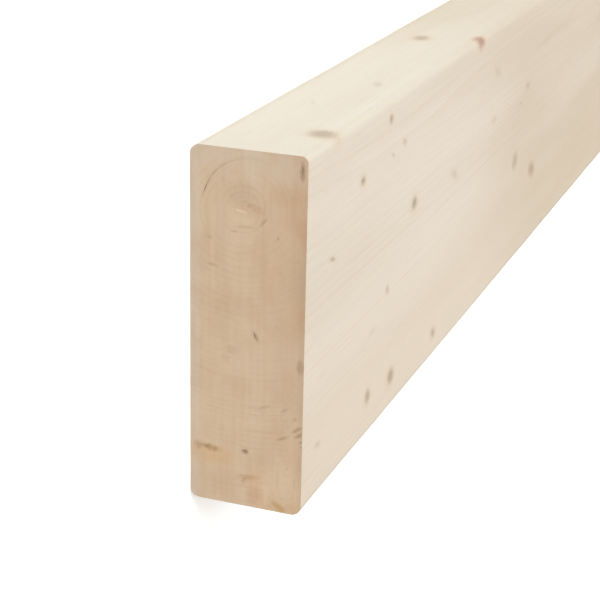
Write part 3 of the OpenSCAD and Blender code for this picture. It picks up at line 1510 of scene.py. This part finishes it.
    def knot_cloud(self, knots: list[Knot]) -> bpy.types.Object:
        """Makes a cloud of points that carry the knots' axes, reach and kind.

        Args:
            knots: The knots.

        Returns:
            The cloud, which isn't part of the plank.
        """
        places = [self.knot_place(k) for k in knots]
        vectors = {"first_axis": [], "second_axis": [], "outward": [], "kind": []}
        reaches = []
        grain = Vector((1, 0, 0))
        for knot, place in zip(knots, places):
            across, up = knot.face.value
            width = Vector((0, abs(up), abs(across) if across * up == 0 else -1)).normalized()
            turn = math.radians(knot.slant)
            first = grain * math.cos(turn) + width * math.sin(turn)
            second = width * math.cos(turn) - grain * math.sin(turn)
            vectors["first_axis"].append(first / (knot.half[0] * MM))
            vectors["second_axis"].append(second / (knot.half[1] * MM))
            vectors["outward"].append(Vector((0, across, up)).normalized() / (self.knot_depth * MM))
            vectors["kind"].append((knot.tone, knot.red, knot.half[1]))
            gap = min((place - p).length for p in places if p is not place)
            room = (self.knot_reach[0] * knot.half[0] + self.knot_reach[1]) * MM
            reaches.append(min(room, max(gap / 2 - self.knot_gap * MM, self.least_reach * gap)))
        mesh = bpy.data.meshes.new("knots")
        mesh.from_pydata(places, [], [])
        for word, values in vectors.items():
            layer = mesh.attributes.new(word, "FLOAT_VECTOR", "POINT")
            layer.data.foreach_set("vector", [c for v in values for c in v])
        mesh.attributes.new("reach", "FLOAT", "POINT").data.foreach_set("value", reaches)
        return put_in_scene("knots", mesh)

    def build(self, planed: bpy.types.Material, sawn: bpy.types.Material) -> bpy.types.Object:
        """Builds the plank's mesh and dresses it.

        Args:
            planed: Finish of the long faces.
            sawn: Finish of the ends.

        Returns:
            The finished piece.
        """
        piece = put_in_scene("timber_plank", bpy.data.meshes.new("timber_plank"))
        sizes = {
            "Length": self.size.x,
            "Width": self.size.y,
            "Thickness": self.size.z,
            "Edge Radius": self.edge_radius * MM,
            "Back Radius": self.back_radius * MM,
            "Face Step": self.face_step * MM,
            "Wear": self.wear * MM,
            "Wear Spells": self.wear_spells,
            "Near Share": self.near_share,
            "Edge Steps": self.edge_steps,
            "Stations": self.stations,
            "Finish": planed,
        }
        grow_mesh(piece, self.section_tree(), sizes)
        self.saw_ends(piece.data)
        cloud = self.knot_cloud(self.all_knots())
        grow_mesh(piece, self.knots_tree(), {"Knots": cloud, "Planed": planed, "Sawn": sawn})
        bpy.data.objects.remove(cloud)
        eased = (3 * self.edge_radius + self.back_radius) * MM
        girth = 2 * (self.size.y + self.size.z) - (2 - math.pi / 2) * eased
        BakeSheet().lay_out(piece.data, self.low, self.size, girth)
        piece.data.shade_smooth()
        piece.data.set_sharp_from_angle(angle=math.radians(self.crease))
        return piece

    def saw_ends(self, mesh: bpy.types.Mesh) -> None:
        """Closes both ends of the plank.

        Args:
            mesh: The plank's open mesh.
        """
        bm = bmesh.new()
        bm.from_mesh(mesh)
        bm.verts.layers.float.new("groove")
        bm.faces.layers.int.new("sawn")
        for end in (SawnEnd(-1, NEAR_GROOVES), SawnEnd(1)):
            end.close(bm, self.rim(bm, end.side))
        bm.normal_update()
        bm.to_mesh(mesh)
        bm.free()

    def rim(self, bm: bmesh.types.BMesh, side: int) -> list[bmesh.types.BMVert]:
        """Walks round an open end.

        Args:
            bm: The plank's mesh.
            side: -1 for the near end and 1 for the far one.

        Returns:
            The end's vertices in order, counterclockwise as Y and Z.
        """
        open_edges = [e for e in bm.edges if e.is_boundary and e.verts[0].co.x * side > 0]
        order = [open_edges[0].verts[0], open_edges[0].verts[1]]
        while len(order) < len(open_edges):
            links = [e for e in order[-1].link_edges if e.is_boundary]
            order.append(next(v for e in links for v in e.verts if v not in order[-2:]))
        area = sum(a.co.y * b.co.z - b.co.y * a.co.z for a, b in zip(order, order[1:] + order[:1]))
        return order if area > 0 else order[::-1]


@dataclass(frozen=True)
class Studio:
    """A white floor under one broad soft lamp and even light from all round.

    Attributes:
        lamp_from: Direction from the plank to the lamp.
        lamp: The lamp's light on a surface that faces it, where 1 shows a colour as it is.
        softness: The lamp's width as seen from the plank, in degrees.
        fill: The light from all round, on the same scale.
        floor_size: Width of the floor, in metres.
        floor_grey: The floor's colour as the plank sees it.
        floor_white: The floor's colour as the camera sees it, which the light brings to white.
    """

    lamp_from: Triple = (-0.27, 0.70, 0.66)
    lamp: float = 0.52
    softness: float = 70.0
    fill: float = 0.64
    floor_size: float = 14.0
    floor_grey: str = "#E6E6E6"
    floor_white: float = 1.4

    def build(self) -> bpy.types.Object:
        """Sets up the lamp, the even light and the floor.

        Returns:
            The floor.
        """
        sun = bpy.data.lights.new("soft_lamp", "SUN")
        sun.energy = self.lamp * math.pi
        sun.angle = math.radians(self.softness)
        lamp = put_in_scene("soft_lamp", sun)
        lamp.rotation_euler = Vector(self.lamp_from).to_track_quat("Z", "Y").to_euler()
        self.light_world()
        half = self.floor_size / 2
        mesh = bpy.data.meshes.new("floor")
        corners = [(-half, -half, 0), (half, -half, 0), (half, half, 0), (-half, half, 0)]
        mesh.from_pydata(corners, [], [(0, 1, 2, 3)])
        mesh.materials.append(self.floor_finish())
        return put_in_scene("floor", mesh)

    def seen_directly(self, tree: Tree) -> Socket:
        """Tells what the camera, a reflection or a clear surface sees from what lights the plank.

        Args:
            tree: The tree that asks.

        Returns:
            A socket that is 1 for what is seen and 0 for what lights.
        """
        rays = add(tree, "ShaderNodeLightPath").node.outputs
        shiny = add(tree, MATH, [rays["Is Camera Ray"], rays["Is Glossy Ray"]], **LARGER)
        return add(tree, MATH, [shiny, rays["Is Transmission Ray"]], **LARGER)

    def light_world(self) -> None:
        """Gives even light from all round, on a background that shows white."""
        world = bpy.data.worlds.new("even_light")
        bpy.context.scene.world = world
        tree = bare_tree(world)
        seen = self.seen_directly(tree)
        level = add(tree, RANGE, [seen, 0.0, 1.0, self.fill, 1.0])
        sky = add(tree, "ShaderNodeBackground", {"Color": (1, 1, 1, 1), "Strength": level})
        add(tree, "ShaderNodeOutputWorld", {"Surface": sky})

    def floor_finish(self) -> bpy.types.Material:
        """Builds the floor's matt white paper, which keeps the plank's shadow.

        Returns:
            The material.
        """
        made = bpy.data.materials.new("white_paper")
        tree = bare_tree(made)
        seen = self.seen_directly(tree)
        white = (self.floor_white, self.floor_white, self.floor_white, 1)
        colour = add(tree, MIX, [seen, linear(self.floor_grey), white], **BLEND)
        paper = add(tree, "ShaderNodeBsdfDiffuse", {"Color": colour})
        add(tree, "ShaderNodeOutputMaterial", {"Surface": paper})
        return made


@dataclass(frozen=True)
class Viewpoint:
    """The photograph's camera, which looks along the plank and down on its wide face.

    Attributes:
        stand: The lens's place from the near end's middle, at floor level, in millimetres.
        aim: The point at the picture's middle, measured likewise.
        roll: Turn about the line of sight from the plank's Y being up, in degrees.
        lens: Focal length, in millimetres.
        sensor: Width of the sensor that it is for, in millimetres.
        nearest: Distance at which the picture starts, in millimetres.
    """

    stand: Triple = (-557.3, 235.8, 253.4)
    aim: Triple = (0.0, 17.7, 45.8)
    roll: float = 1.27
    lens: float = 100.0
    sensor: float = 36.0
    nearest: float = 10.0

    def place(self, near_end: Vector) -> None:
        """Sets up the camera.

        Args:
            near_end: The near end's middle at floor level, in metres.
        """
        data = bpy.data.cameras.new("camera")
        data.lens = self.lens
        data.sensor_width = self.sensor
        data.clip_start = self.nearest * MM
        camera = put_in_scene("camera", data)
        sight = (Vector(self.aim) - Vector(self.stand)).normalized()
        right = sight.cross(Vector((0, 1, 0))).normalized()
        up = right.cross(sight)
        turn = Matrix((right, up, -sight)).transposed()
        rolled = turn @ Matrix.Rotation(math.radians(self.roll), 3, "Z")
        camera.matrix_world = Matrix.Translation(near_end + Vector(self.stand) * MM) @ rolled.to_4x4()
        bpy.context.scene.camera = camera


def main() -> None:
    """Builds the plank, its light and its camera, and reports each piece."""
    logging.basicConfig(level=logging.INFO, format="%(name)s: %(message)s")
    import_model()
    low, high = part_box("plank")
    bpy.context.scene.view_settings.view_transform = "Standard"
    plank = Plank(low, high)
    planed = PlanedSpruce(low, plank.size).material()
    sawn = SawnEndGrain(low, plank.size).material()
    piece = plank.build(planed, sawn)
    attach(piece, "root")
    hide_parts("plank")
    LOG.info("%s: %d faces", piece.name, len(piece.data.polygons))
    floor = Studio().build()
    Viewpoint().place(Vector((low.x, 0, low.z)))


if __name__ == "__main__":
    main()
